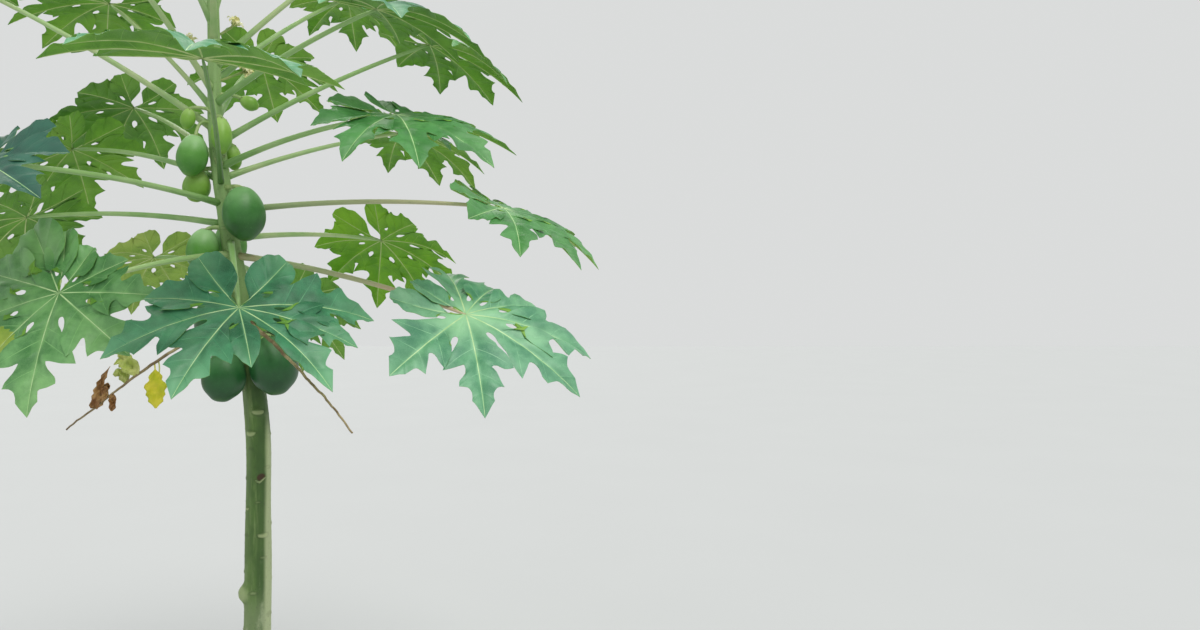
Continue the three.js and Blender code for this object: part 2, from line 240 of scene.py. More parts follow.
trunk = {
    "height": 2.44, "lowRadius": 0.0372, "tipRadius": 0.012, "flareRadius": 0.016, "flareFade": 0.09,
    "lean": 0.118, "leanFrom": 1.1, "leanTo": 2.1, "sway": 0.02, "tipLength": 0.03,
    "sides": 96, "rings": 600, "seed": 21,
    # scars of old leaves: the first one's height, the stretch they fill, spacing, turn, half width
    # and half height, relief, and the relief of the ring round the stem
    "scarsFrom": 0.05, "scarsOver": 2.36, "scarSpacing": 0.034, "scarTurn": 137.5,
    "scarHalf": (0.0135, 0.0062), "scarHeight": 0.0016, "nodeRing": 0.0006,
    # marks on the bare stem: height, azimuth, size, kind; then their half width and half height
    "marks": [(1.236, -62, 1.6, "scar"), (1.177, -108, 1.6, "scar"), (1.049, -58, 1.35, "bud"),
              (0.97, -128, 0.9, "scar"), (0.898, -50, 1.4, "scar"), (0.735, -156, 1.0, "lump"),
              (0.62, -80, 0.9, "scar"), (0.5, -30, 1.0, "scar")],
    "markHalf": (0.0105, 0.0075),
    # stubs of fallen flower stalks: how many, from and to which height; then those that show
    "stubs": (16, 1.3, 2.15), "ownStubs": [(1.893, -58, 0.026), (1.905, -84, 0.022)],
    "stubRadius": 0.0042, "stubRise": 30, "stubArch": 12,
}
sunk = 0.003  # how far inside the bark a stalk begins


def trunkCentre(z):  # straight, then a smooth step towards -X through the crown; a slow bow along Y
    z = np.asarray(z, float)
    s = np.clip((z - trunk["leanFrom"]) / (trunk["leanTo"] - trunk["leanFrom"]), 0, 1)
    x = -trunk["lean"] * s * s * (3 - 2 * s)
    return np.stack([x, trunk["sway"] * np.sin(pi * z / trunk["height"]), z], -1)


def trunkRadius(z):  # tapers with the square of the height, plus a flare fading from the ground
    z = np.asarray(z, float)
    taper = trunk["tipRadius"] + (trunk["lowRadius"] - trunk["tipRadius"]) * (1 - (z / trunk["height"]) ** 2)
    return taper + trunk["flareRadius"] * np.exp(-z / trunk["flareFade"])


def placeOnBark(turn, z, facing, height, half, size):  # across and up from a spot, in its half sizes
    off = (turn - facing + pi) % (2 * pi) - pi
    return off, off * trunkRadius(height) / (half[0] * size), (z - height) / (half[1] * size)


# Each old leaf left a scar: a low pad, wider than high, hollow above and sharper below. Scars
# climb in a spiral, a fixed turn and spacing apart, with a faint ring round the stem at each.
def trunkRelief(turn, z, rng):
    relief, scar, bud = np.zeros_like(z), np.zeros_like(z), np.zeros_like(z)
    count = int(trunk["scarsOver"] / trunk["scarSpacing"])
    for k in range(count):
        height = trunk["scarsFrom"] + k * trunk["scarSpacing"] * (1 - 0.12 * k / count)
        height += rng.uniform(-0.008, 0.008)
        facing = radians(k * trunk["scarTurn"] + rng.uniform(-9, 9) - 100)
        size = rng.uniform(0.8, 1.15) * (0.55 + 0.45 * trunkRadius(height) / 0.04)
        off, x, y = placeOnBark(turn, z, facing, height, trunk["scarHalf"], size)
        pad = bell(x, y + 0.35 * x**2, power=2)
        relief += trunk["scarHeight"] * size * (pad - 0.75 * bell(x * 1.5, (y - 0.35) * 1.9))
        ring = bell((z - height + 0.004 * np.cos(off)) / 0.0028)
        relief += trunk["nodeRing"] * ring * (0.4 + 0.6 * np.cos(off / 2) ** 2)
        scar = np.maximum(scar, pad * rng.uniform(0.3, 0.6))
    for height, azimuth, size, kind in trunk["marks"]:
        _, x, y = placeOnBark(turn, z, radians(azimuth), height, trunk["markHalf"], size)
        if kind == "lump":  # a pale swelling
            swelling = bell(x / 2.5, y / 3, power=1.5)
            relief += 0.015 * size * swelling
            bud -= swelling
        elif kind == "bud":  # a dark hollow over a pale lip
            lip = bell((y + 0.75 - 0.9 * np.abs(x + 0.3)) / 0.4, (x / 1.25) ** 2)
            hollow = bell(x - 0.15, (y - 0.5) * 0.9, power=1.5)
            relief += size * (0.0032 * lip - 0.0036 * hollow)
            bud = np.maximum(bud, hollow * (1 - 0.8 * lip))
            scar = np.maximum(scar, 0.85 * lip)
        else:
            pad = bell(x, y + 0.4 * x**2, power=2)
            lip = bell((y + 0.35 - 0.5 * x**2) / 0.4, (x / 1.1) ** 2)
            relief += size * (0.0034 * pad - 0.0026 * bell((x - 0.35) * 1.4, (y - 0.3) * 1.7))
            scar = np.maximum(scar, 0.6 * lip + 0.4 * pad)
    return relief, {"scar": scar, "bud": bud}


# The trunk: its radius at each height, with slow swells, scars and roots' ends round the foot, and
# a domed tip. The cut at the ground is flat.
def makeTrunk(material):
    rng = np.random.default_rng(trunk["seed"])
    a, t = circle(trunk["sides"]), np.linspace(0, 1, trunk["rings"])
    z = np.clip(trunk["height"] * (0.12 * t**2 + 0.88 * t), 0, trunk["height"])
    turn, level = np.meshgrid(a, z)
    relief, values = trunkRelief(turn, level, rng)
    swell = 0.0011 * np.sin(5 * turn + 3 * level) + 0.0009 * np.sin(3 * turn - 7 * level + 1.2)
    swell += 0.0008 * np.sin(17 * level + 2 * np.sin(turn))
    swell += 0.006 * np.exp(-level / 0.06) * np.cos(3 * turn + 0.6)
    closing = np.clip((trunk["height"] - level) / trunk["tipLength"], 0, 1)
    radius = trunkRadius(level) * (0.35 + 0.65 * np.sqrt(closing))
    radius = radius + (relief + swell) * np.minimum(1, closing + 0.2)
    sides = trunkCentre(level) + np.stack([np.cos(turn) * radius, np.sin(turn) * radius, 0 * turn], -1)
    foot, top = (np.repeat(trunkCentre(end)[None, None], trunk["sides"], 1) for end in (z[0], z[-1]))
    values = {key: doubleEnds(field).ravel() for key, field in values.items()}
    parts = [gridPart(np.concatenate([foot, sides, top]), 0, ringUv(a, doubleEnds(z)), **values)]

    count, low, high = trunk["stubs"]
    stubs = rng.uniform((low, 0, 0.01), (high, 360, 0.024), (count, 3)).tolist()
    for height, azimuth, length in trunk["ownStubs"] + stubs:
        surface = trunkRadius(height)
        t = np.linspace((surface - sunk) / (surface + length), 1, 8)
        path, tangents = stalkPath(height, azimuth, trunk["stubRise"], surface + length, trunk["stubArch"], t)
        stub = tube(path, tangents, trunk["stubRadius"] * (1.35 - 0.75 * np.linspace(0, 1, 8)), 8)
        stub["values"] = {"scar": np.full(len(stub["points"]), 0.7), "bud": np.zeros(len(stub["points"]))}
        parts.append(stub)
    makePiece("trunk_bark", parts, [material], ["trunk"])
    print("trunk made")


# the pale tone for one side of the stem is a painted highlight
barkTones = {
    "green": (92, 125, 58), "deep": (58, 89, 36), "pale": (142, 164, 104), "young": (158, 196, 128),
    "flank": (186, 198, 152), "chalk": (164, 176, 138), "earth": (112, 104, 78), "lump": (168, 184, 132),
    "scar": (172, 184, 134), "scarEdge": (58, 58, 36), "bud": (70, 44, 26),
}


# Green with pale streaks, younger with height, chalky and earthy near the
# ground, with a painted highlight down one side, painted shade beside it and painted light on the
# far side. A scar has a dark rim round a pale face.
def barkPaint():
    paint, tones = Paint("greenBark"), barkTones
    height = paint.spot().axis(2)
    streak = paint.noise(95, 4, 0.6, (1, 1, 0.08))
    cloud = paint.noise(11, 4, 0.6, (1, 1, 0.45))
    speck = paint.noise(260, 2, 0.5, (1, 1, 0.8))
    patch = paint.noise(26, 5, 0.65, (1, 1, 0.5))
    # a painted highlight down one side up to the fruit, painted shade on the bark beside it and a little
    # painted light on the far side
    across = paint.spot().axis(0) - paint.spot().axis(1) * 0.07
    flank = across.above(0.021, 0.03)
    shade = across.above(0.004, 0.013) * (1 - flank) * height.below(1.1, 1.4)
    scar, bud = paint.attribute("scar"), paint.attribute("bud")
    rim = scar.above(0.05, 0.3) * scar.below(0.35, 0.6)
    base = paint.coats(
        tones["deep"],
        (cloud.above(0.36, 0.66), tones["green"]),
        (streak.above(0.5, 0.74) * 0.55, tones["pale"]),
        (height.above(1.25, 1.95) * 0.9, tones["young"]),
        # painted light: a highlight down one side, painted shade beside it, a little painted light on the far
        # side
        (flank * height.below(1.15, 1.4) * 0.85, tones["flank"]),
        (shade * 0.6, tones["deep"]),
        (across.below(-0.034, 0.002) * 0.3, tones["pale"]),
        ((height + cloud * 0.06).below(0.7, 0.8) * 0.3, tones["chalk"]),
        (patch.above(0.5, 0.68) * height.below(0.6, 0.95) * 0.75, tones["chalk"]),
        ((height + cloud * 0.12).below(0.06, 0.26) * 0.85, tones["earth"]),
        (speck.above(0.62, 0.76) * 0.5, tones["scarEdge"]),
        (rim * 0.2, tones["scarEdge"]),
        (scar.above(0.35, 0.8) * 0.75, tones["scar"]),
        (bud.above(0.25, 0.6) * 0.9, tones["bud"]),
        (bud.below(-0.7, -0.1) * 0.7, tones["lump"]))
    return paint.finish(base, 0.5 + streak * 0.25, streak * 0.7 + speck * 0.3 + cloud * 0.5, 0.0016, 0.5)


# height, azimuth, rise and length of the stalk; size and pitch of the blade; colouring; and, where
# they are not 0, spin and roll of the blade
leaves = [
    (1.615, 138, 7, 0.57, 0.26, 24, "old"),
    (1.64, 96, -8, 0.62, 0.29, 42, "ripe"),
    # this leaf's bloom colouring is a painted highlight
    (1.665, -17, -13, 0.726, 0.328, 23, "bloom", 28, 28),
    (1.67, -109, -13, 0.541, 0.272, 56, "warm", 4, -8),
    (1.7, -65.5, -17, 0.631, 0.29, 35, "ripe", -3, 3),
    (1.71, 63, 4, 0.62, 0.32, 28, "lime", 0, -8),
    (1.75, 169, 3, 0.65, 0.3, 30, "ripe"),
    (1.785, 10, 2, 0.768, 0.32, 14, "fresh", 0, 15),
    (1.805, -118, 2, 0.62, 0.3, 30, "shade"),
    (1.86, -69, 10, 0.79, 0.31, 3, "ripe", 0, -2),
    (1.874, 152, 12, 0.7, 0.305, 25, "fresh"),
    (1.875, 36, 20, 0.56, 0.29, 10, "fresh"),
    (1.907, -28, 7, 0.64, 0.3, 12, "fresh", 0, 14),
    (1.925, 136, 21, 0.72, 0.3, 20, "ripe"),
    (1.97, 14, 29, 0.66, 0.3, 12, "fresh"),
    (2.01, 192, 30, 0.74, 0.29, 18, "ripe"),
    (2.03, 100, 30, 0.68, 0.3, 14, "fresh"),
    (2.06, 158, 41, 0.54, 0.27, 2, "fresh"),
    (2.08, -28, 16, 0.61, 0.29, 6, "ripe"),
    (2.11, -104, 34, 0.63, 0.285, 6, "fresh"),
    (2.14, 62, 38, 0.64, 0.28, 4, "fresh"),
    (2.18, 12, 42, 0.62, 0.27, 2, "fresh"),
    (2.22, 122, 50, 0.6, 0.26, 0, "fresh"),
    (2.25, -66, 54, 0.59, 0.25, -4, "young"),
    (2.292, 205, 60, 0.56, 0.235, -8, "young"),
    (2.325, 42, 68, 0.51, 0.2, -18, "young"),
    (2.36, -88, 76, 0.4, 0.15, -35, "young"),
    (2.4, 150, 80, 0.27, 0.095, -50, "young"),
]

# Half a lobe, by kind. Its edge runs from the cut beside it to its tip. Each row: where on the
# midrib the line to this point starts, the point along and across in shares of the lobe's reach,
# and 1 for a sharp tooth. Then how many lines run between the points, and where side veins start.
lobeKinds = {
    "full": {
        "edge": [
            (0.31, 0.44, 0.18, 0), (0.355, 0.52, 0.24, 0), (0.41, 0.64, 0.288, 1), (0.445, 0.63, 0.21, 0),
            (0.48, 0.615, 0.145, 0), (0.52, 0.63, 0.108, 0), (0.56, 0.68, 0.13, 0), (0.6, 0.735, 0.17, 0),
            (0.65, 0.785, 0.192, 1), (0.7, 0.812, 0.13, 0), (0.75, 0.845, 0.088, 0), (0.81, 0.9, 0.084, 1),
            (1, 1, 0, 1)],
        "lines": [2, 2, 2, 3, 2, 2, 2, 2, 3, 2, 3, 2, 5], "veins": [0.31, 0.41, 0.65, 0.81]},
    "plain": {
        "edge": [
            (0.31, 0.42, 0.19, 0), (0.38, 0.54, 0.25, 0), (0.46, 0.68, 0.262, 1), (0.5, 0.68, 0.208, 0),
            (0.55, 0.725, 0.178, 0), (0.62, 0.825, 0.168, 1), (0.7, 0.865, 0.122, 0), (0.82, 0.94, 0.062, 0),
            (1, 1, 0, 1)],
        "lines": [3, 2, 3, 3, 2, 3, 3, 3, 5], "veins": [0.31, 0.46, 0.62]},
    "ear": {
        "edge": [
            (0.31, 0.4, 0.19, 0), (0.38, 0.54, 0.24, 0), (0.47, 0.69, 0.256, 0), (0.58, 0.83, 0.216, 0),
            (0.7, 0.93, 0.144, 0), (0.85, 0.985, 0.066, 0), (1, 1, 0, 1)],
        "lines": [2, 3, 3, 3, 3, 4, 3], "veins": [0.38, 0.58]},
    "spade": {
        "edge": [
            (0.31, 0.44, 0.2, 0), (0.4, 0.58, 0.238, 0), (0.5, 0.72, 0.222, 0), (0.64, 0.85, 0.16, 0),
            (0.8, 0.94, 0.08, 0), (1, 1, 0, 1)],
        "lines": [3, 3, 3, 3, 3, 4], "veins": [0.31, 0.5]},
}
# a slim half lobe has the lines and veins of a full one
lobeKinds["slim"] = {**lobeKinds["full"], "edge": [
    (0.31, 0.385, 0.06, 0), (0.355, 0.43, 0.08, 0), (0.41, 0.49, 0.112, 0), (0.445, 0.53, 0.127, 0),
    (0.48, 0.565, 0.133, 0), (0.52, 0.605, 0.134, 0), (0.56, 0.645, 0.128, 0), (0.6, 0.69, 0.12, 0),
    (0.65, 0.74, 0.114, 0), (0.7, 0.785, 0.108, 0), (0.75, 0.83, 0.094, 0), (0.81, 0.88, 0.077, 1),
    (1, 1, 0, 1)]}

# Lobes of a leaf: angle from the middle one, reach, kind and, where they are not 1 and 0, how much
# wider it spreads and how far it bends to the left. A pair is its left half and its right half.
# The three lowest leaves on the most seen side have their own; the rest are all alike.
commonLobes = [(0, 1, "full")] + [
    (turn * angle, reach, kind) for turn in (1, -1) for angle, reach, kind in
    [(37, 0.97, "full"), (75, 0.87, "full"), (113, 0.7, "plain"), (151, 0.56, "ear")]]
ownLobes = {
    3: [(-170, 0.58, "ear"), (-121, 0.88, "full"), (-74, 0.91, "full"), (-24, 1.04, "full"),
        (7, 1.06, "full"), (40, 0.76, "full"), (73, 0.64, "plain"), (105, 0.94, "full"), (150, 0.52, "ear")],
    4: [(-161, 0.64, "ear"), (-139, 0.87, "ear", (1.15, 1.05)), (-106, 0.97, "plain"), (-71, 0.97, "full"),
        (-33, 0.9, "full"), (7, 1.04, "full", 1.15), (58, 0.93, "full", 1.15), (94, 0.83, "full"),
        (128, 0.58, "plain"), (165, 0.46, "ear", 1.4)],
    5: [(-151, 0.62, "ear"), (-113, 0.72, "plain"), (-76, 0.93, "full", 1.15), (-29, 0.86, "full", 1.05),
        (9, 0.59, "spade", (0.68, 1)), (46, 0.93, ("full", "slim"), 1, -0.2), (75, 0.87, "full"),
        (103, 1.03, "full"), (147, 0.63, "ear")],
}
tiredLobes = {4: -33}  # the leaf and the angle of the lobe whose end has turned yellow
# leaves that droop less towards their tips, whose lobes overlap the other way round, or whose
# stalk is slimmer or of another colour
leafTraits = {3: {"stalk": 2}, 4: {"over": -1, "cup": 0.15, "earRise": 0.3}, 8: {"stalk": 2},
              10: {"cup": 0.15, "slim": 0.8, "stalk": 3}}

blade = {
    "cut": 0.33, "cutSpread": (0.84, 1.12), "baseCut": 0.02,
    # the round end of the cut: out from its bottom, and half width, in shares of the shorter lobe
    "cutEnd": [(0.205, 0.004, 0.012), (0.222, 0.03, 0.024), (0.245, 0.08, 0.026), (0.275, 0.14, 0.014)],
    "baseEnd": [(0.205, 0.006, 0.024), (0.222, 0.045, 0.055), (0.245, 0.11, 0.085), (0.275, 0.19, 0.1)],
    "cutKnot": 0.19, "cutLines": [5, 1, 2, 2, 2],
    "columns": np.array([[0, 0, 0.2, 0.4, 0.62, 0.84, 1]]),  # the rib's middle and edge, then to the margin
    "ribHalf": 0.0058, "ribRise": 0.003, "veinHalf": 0.0034, "veinRise": 0.0014,
    "cup": 0.3, "earRise": 0.7, "fold": 0.045, "quilt": 0.006, "wave": 0.009, "waves": 5.5,
    "overlap": 0.012, "thickness": 0.0036, "thin": 0.24, "jitter": 0.012, "seed": 399,
    "squeezeBelow": 0.66,  # a lobe with less than this share of its reach free of the cuts is squeezed
    "fullSize": 0.3,  # the size of blade that the thickness is for; it follows the root of the size
    "tiredFrom": 0.5,  # how far out on a lobe its yellow end begins
    "habits": [(-0.14, -0.08, -0.45), (0.14, 0.2, 0.45)],  # a lobe's least and most bend, droop and twist
    "ownCalm": 0.25,  # how much of these the leaves with lobes of their own have
}
stalk = {"base": 0.0095, "end": 0.0055, "swell": 0.004, "swellLength": 0.08, "arch": 7,
         "fullLength": 0.6, "thinnest": 0.55, "sides": 12, "steps": 26, "sunk": 0.004, "bow": 0.006,
         # how slim a leaf's stalk is, how its rings crowd at the foot, and how it ends under the blade
         "slim": 0.92, "crowding": 1.15, "tip": [0.95, 0.8, 0.5], "under": 0.0012}


def stalkPath(height, azimuth, rise, length, arch, t):  # its middle is lifted, so it starts steeper
    start = trunkCentre(height)
    end = start + direction(azimuth, rise) * length
    middle = start + direction(azimuth, rise + arch) * length / 2
    return bezier(start, middle, end, t)


def stalkRadius(t):  # runs straight from base to end, plus a swelling that fades from the foot
    straight = stalk["base"] + (stalk["end"] - stalk["base"]) * t
    return straight + stalk["swell"] * np.exp(-t / stalk["swellLength"])


# A curve through points at given knots. Its slope at a smooth point is that between the
# neighbours; at a tooth each side keeps its own, so the curve has a corner there.
def edgeCurve(knots, points, sharp, u):
    k = np.clip(np.searchsorted(knots, u, side="right") - 1, 0, len(knots) - 2)
    span = np.diff(knots)[:, None]
    own = np.diff(points, axis=0) / span
    smooth = np.zeros_like(points)
    smooth[1:-1] = (points[2:] - points[:-2]) / (knots[2:] - knots[:-2])[:, None]
    first = np.where(sharp[k][..., None], own[k], smooth[k])
    last = np.where(sharp[k + 1][..., None], own[k], smooth[k + 1])
    step = span[k]
    s = (u - knots[k])[..., None] / step
    return (points[k] * (1 + 2 * s) * (1 - s) ** 2 + points[k + 1] * s**2 * (3 - 2 * s)
            + first * step * s * (1 - s) ** 2 - last * step * s**2 * (1 - s))


# The knots of half a lobe's edge, from the leaf's middle along the cut's round end to the tip. A
# squeezed lobe keeps its tip and is drawn together towards it.
def lobeKnots(kind, reach, axes, cut, cutAxes, turn, spread, habit):
    (ahead, left), (cutAhead, cutAside), (_, depth, least) = axes, cutAxes, cut
    squeeze = habit["squeeze"]
    ends = np.array(blade["baseEnd" if depth == blade["baseCut"] else "cutEnd"])
    rows = np.array(lobeKinds[kind]["edge"], float)
    wide = (1 + 0.8 * (1 - squeeze)) * spread
    shift = habit["edges"][turn][:len(rows)] * (rows[:, :1] < 1)
    far = 1 - (1 - rows[:, 1:2] - shift[:, :1]) * squeeze
    rim = (far * ahead + turn * (rows[:, 2:3] + shift[:, 1:]) * wide * left) * reach
    hollow = (depth + ends[:, 1:2] * least * squeeze) * cutAhead + ends[:, 2:] * least * squeeze * cutAside
    points = np.concatenate([[np.zeros(2), depth * cutAhead], hollow, rim])
    knots = 1 - (1 - np.concatenate([[0, blade["cutKnot"]], ends[:, 0], rows[:, 0]])) * squeeze
    knots[0] = 0.0
    sharp = np.concatenate([[True, True], np.zeros(len(ends), bool), rows[:, 3] > 0])
    return knots, points, sharp


def aheadAndLeft(angle):  # the unit vectors along a line and to its left
    a = radians(angle)
    return np.array([[cos(a), sin(a)], [-sin(a), cos(a)]])


# Half a lobe as a ruled surface. u runs along the midrib and v from it to the edge; a line of
# constant u leaves the rib forwards, as the side veins do. turn is +1 where the cut beside this
# half lies anticlockwise of the midrib. Shares of the leaf's size.
def halfLobe(angle, reach, kind, spread, turn, cut, freeFrom, habit, tired):
    axes, cutAxes = aheadAndLeft(angle), aheadAndLeft(cut[0]) * [[1], [-turn]]
    knots, points, sharp = lobeKnots(kind, reach, axes, cut, cutAxes, turn, spread, habit)
    ahead, left = axes
    steps = blade["cutLines"] + lobeKinds[kind]["lines"]
    lines = [np.linspace(k0, k1, n, endpoint=False) for k0, k1, n in zip(knots, knots[1:], steps)]
    lines = np.append(np.concatenate(lines), 1.0)
    veins = 1 - (1 - np.array(lobeKinds[kind]["veins"])) * habit["squeeze"]
    side = np.concatenate([np.zeros(len(lines)), -np.ones(len(veins)), np.ones(len(veins))])
    lines = np.concatenate([lines, veins, veins])
    order = np.argsort(lines + 1e-4 * side)
    lines, side = lines[order], side[order]
    onVein = np.isclose(lines[:, None], veins[None], atol=1e-9).any(1)
    veinMiddle = (onVein & (side == 0))[:, None]

    v = blade["columns"]
    u = lines[:, None] + side[:, None] * blade["veinHalf"] * (1 - 0.8 * v)
    edge = edgeCurve(knots, points, sharp, u)
    rib = u[..., None] * reach * ahead
    width = np.abs((edge - rib) @ left)[:, :1]
    ribShare = np.minimum(0.4, blade["ribHalf"] * reach**0.5 * (1 - 0.72 * u) / np.maximum(width, 1e-6))
    v = np.where(np.arange(v.shape[1])[None] == 0, 0.0, ribShare + (1 - ribShare) * v)
    flat = rib + v[..., None] * (edge - rib)

    # the lobe bends in its plane, droops and twists of its own accord beyond the cuts
    along, across = flat @ ahead, flat @ left
    free = np.clip(along - freeFrom, 0, None)
    wide = np.clip(width / 0.1, 0, 1)
    bend, droop, twist = habit["lobe"]
    flat = flat + (bend * free**2)[..., None] * left
    out = np.linalg.norm(flat, axis=-1)
    ear = np.minimum(0, flat[..., 0])
    lift = blade["fold"] * wide * v * (2 - v) * np.minimum(1, 2.5 * out) - habit["cup"] * out**2
    lift += habit["earRise"] * ear**2 - droop * free**2 + twist * free * across
    spaces = np.concatenate([[0.0, knots[1] / 2, knots[1]], veins, [(veins[-1] + 1) / 2, 1.0]])
    quilt = np.abs(np.sin(pi * np.interp(u, spaces, np.arange(len(spaces)))))
    lift += blade["quilt"] * quilt * 4 * v * (1 - v) * np.minimum(1, 3 * u) * wide
    wave = np.sin(2 * pi * blade["waves"] * u + habit["phase"])
    lift += blade["wave"] * wide * v**2 * wave * np.minimum(1, 4 * free)
    # where two lobes overlap beyond their cut, one passes over the other
    past = np.clip((0.05 - flat @ cutAxes[1]) / 0.1, 0, 1)
    apart = np.clip((out - cut[1]) / 0.12, 0, 1) * past**2 * (3 - 2 * past)
    lift += turn * habit["over"] * blade["overlap"] * apart * v * (2 - v)
    rise = np.where(veinMiddle, (1 - 0.7 * v) * blade["veinRise"], 0)
    rise[:, 0] = blade["ribRise"] * (1 - 0.65 * lines)
    points = np.concatenate([flat, (lift + rise)[..., None]], -1)

    # looks: 0 blade, 1 rib, 2 side vein, 3 yellow end
    cell = np.zeros((lift.shape[0] - 1, lift.shape[1] - 1), int)
    cell[onVein[1:] & onVein[:-1]] = 2
    cell[:, 0] = 1
    if tired:
        middle = (u[1:, 1:] + u[:-1, :-1]) / 2 + 0.16 * (v[1:, 1:] + v[:-1, :-1]) / 2
        cell[(middle > blade["tiredFrom"]) & (cell != 1)] = 3
    # how thick the leaf is at a point, as a share of the thickest rib
    heavy = np.maximum(blade["thin"], np.where(veinMiddle, 0.55 - 0.25 * v, 0))
    heavy[:, 0] = 1 - 0.7 * lines
    uv = np.stack([u, v], -1).reshape(-1, 2)
    return gridPart(points, cell.ravel(), uv, wrap=False, flip=turn > 0, heavy=heavy.ravel())


# Each lobe has a cut on either side of it, halfway to the next; the one behind is the deepest
def leafParts(lobes, rng, calm, tired, traits):
    lobes = [(*lobe, *(1, 0)[len(lobe) - 3:]) for lobe in sorted(lobes)]
    cuts = []
    for n, (angle, reach, *_) in enumerate(lobes):
        after, afterReach, *_ = lobes[(n + 1) % len(lobes)]
        behind = n + 1 == len(lobes)
        least = min(reach, afterReach)
        depth = blade["baseCut"] if behind else blade["cut"] * least * rng.uniform(*blade["cutSpread"])
        cuts.append(((angle + after + (360 if behind else 0)) / 2, depth, least))
    parts = []
    for n, (angle, reach, kind, spread, bend) in enumerate(lobes):
        beside = (cuts[n], cuts[n - 1])
        own = rng.uniform(*blade["habits"]) * calm
        # a lobe that its cuts reach far up is squeezed in to what is left, and a little wider for it
        left = [1 - depth * cos(radians(cutAngle - angle)) / reach for cutAngle, depth, _ in beside]
        habit = {"lobe": own + [bend, 0, 0], "squeeze": min(1.0, min(left) / blade["squeezeBelow"]), **traits,
                 "phase": rng.uniform(0, 6),
                 "edges": {t: rng.uniform(-blade["jitter"], blade["jitter"], (13, 2)) for t in (1, -1)}}
        freeFrom = max(0.4 * reach, 1.02 * max(cut[1] for cut in beside))
        kinds = (kind, kind) if isinstance(kind, str) else kind
        for turn, cut, half, wide in zip((1, -1), beside, kinds, np.broadcast_to(spread, 2)):
            parts.append(halfLobe(angle, reach, half, wide, turn, cut, freeFrom, habit, angle == tired))
    return parts


# The blade's own axes: x along the middle lobe, y to its left, z out of the upper face
def bladeAxes(azimuth, pitch, spin, roll):
    along, across = direction(azimuth, -pitch), direction(azimuth + 90, 0)
    axes = np.stack([along, across, np.cross(along, across)], 1)
    r, s = radians(roll), radians(spin)
    tilt = np.array([[1, 0, 0], [0, cos(r), -sin(r)], [0, sin(r), cos(r)]])
    turn = np.array([[cos(s), -sin(s), 0], [sin(s), cos(s), 0], [0, 0, 1]])
    return axes @ tilt @ turn


def thicken(piece, thickness, looks):  # grows downwards, more at the ribs
    values = np.zeros(len(piece.data.vertices), np.float32)
    piece.data.attributes["heavy"].data.foreach_get("value", values)
    values = np.round(values, 2)
    group = piece.vertex_groups.new(name="thick")
    for level in np.unique(values):
        group.add(np.nonzero(values == level)[0].tolist(), float(level), "REPLACE")
    shell = piece.modifiers.new("thickness", "SOLIDIFY")
    shell.thickness, shell.offset, shell.vertex_group = thickness, -1, "thick"
    shell.material_offset = shell.material_offset_rim = looks


# Each leaf: its lobes, scaled, turned by the blade's own axes and thickened, and its stalk
def makeLeaves(colourings, ribTop, ribUnder, stalkPaints):
    old = colourings["old"]
    for n, node, rng, row in numbered("leaf", leaves, blade["seed"]):
        height, azimuth, rise, length, size, pitch, look, *turns = row
        calm = blade["ownCalm"] if n in ownLobes else 1
        traits = {"cup": blade["cup"], "earRise": blade["earRise"], "over": 1, "slim": 1,
                  "stalk": 1 - n % 2, **leafTraits.get(n, {})}
        parts = leafParts(ownLobes.get(n, commonLobes), rng, calm, tiredLobes.get(n), traits)
        ends, _ = stalkPath(height, azimuth, rise, length, stalk["arch"], [1.0])
        axes = bladeAxes(azimuth, pitch, *(turns or (0, 0)))
        for part in parts:
            part["points"] = part["points"] * size @ axes.T + ends[0]
        top, veinTop, under, veinUnder = colourings[look]
        materials = [top, ribTop, veinTop, old[0], under, ribUnder, veinUnder, old[2]]
        piece = makePiece(f"leaf_blade_{n:02d}", parts, materials, [node], 1e-5, sharpRim=True)
        thicken(piece, blade["thickness"] * (size / blade["fullSize"]) ** 0.5, len(materials) // 2)

        # the stalk ends under the blade and bows a little on its way there
        first = (trunkRadius(height) - stalk["sunk"]) / length
        t = first + (1 - first) * np.linspace(0, 1, stalk["steps"]) ** stalk["crowding"]
        path, tangents = stalkPath(height, azimuth, rise, length, stalk["arch"], t)
        thin = min(1, max(stalk["thinnest"], length / stalk["fullLength"]))
        radii = stalk["slim"] * traits["slim"] * thin * stalkRadius(t)
        radii[-3:] *= stalk["tip"]
        path[-2:] += np.outer([0.3, 1], axes[:, 2] * -stalk["under"])
        sway = rng.uniform(-1, 1, 2)
        bow = np.sin(pi * np.clip((t - first) / (1 - first), 0, 1)) * stalk["bow"] * length
        path = path + np.outer(bow, direction(azimuth + 90, 0) * sway[0] + up * sway[1])
        stem = tube(path, tangents, radii, stalk["sides"], 0, t)
        makePiece(f"leaf_stalk_{n:02d}", [stem], [stalkPaints[traits["stalk"]]], [node])
    print("leaves made")


# A blade: mottled, paler towards its lobes' ends and its middle as painted light, paler along its
# ribs partly as their own pale tone and partly as painted highlight, under a net of fine veins. u runs out
# along a lobe and v away from its rib.
def leafPaint(name, colours, rough, paintedLightEnds, paintedHighlightMiddle, fine=0.5):
    main, deep, light = colours
    paint = Paint(name)
    u, v = paint.surface()
    cloud, patch, grain = paint.noise(16, 4, 0.6), paint.noise(5, 2, 0.5), paint.noise(420, 2, 0.5)
    net = paint.cells(260, "DISTANCE_TO_EDGE").below(0, 0.12)
    # painted light: paler towards the lobes' ends, the middle and, partly, along the ribs
    base = paint.coats(
        main, (cloud.below(0.35, 0.68), deep), (patch.above(0.45, 0.7) * 0.5, light),
        (u.above(0.4, 1) * paintedLightEnds, light), (u.below(0, 0.4) * paintedHighlightMiddle, light),
        (v.below(0, 0.16) * 0.4, light), (net * 0.22 * fine, light))
    relief = net * 0.5 + grain * 0.3 + cloud * 0.4
    return paint.finish(base, rough - 0.06 + cloud * 0.16, relief, 0.0006, 0.35)


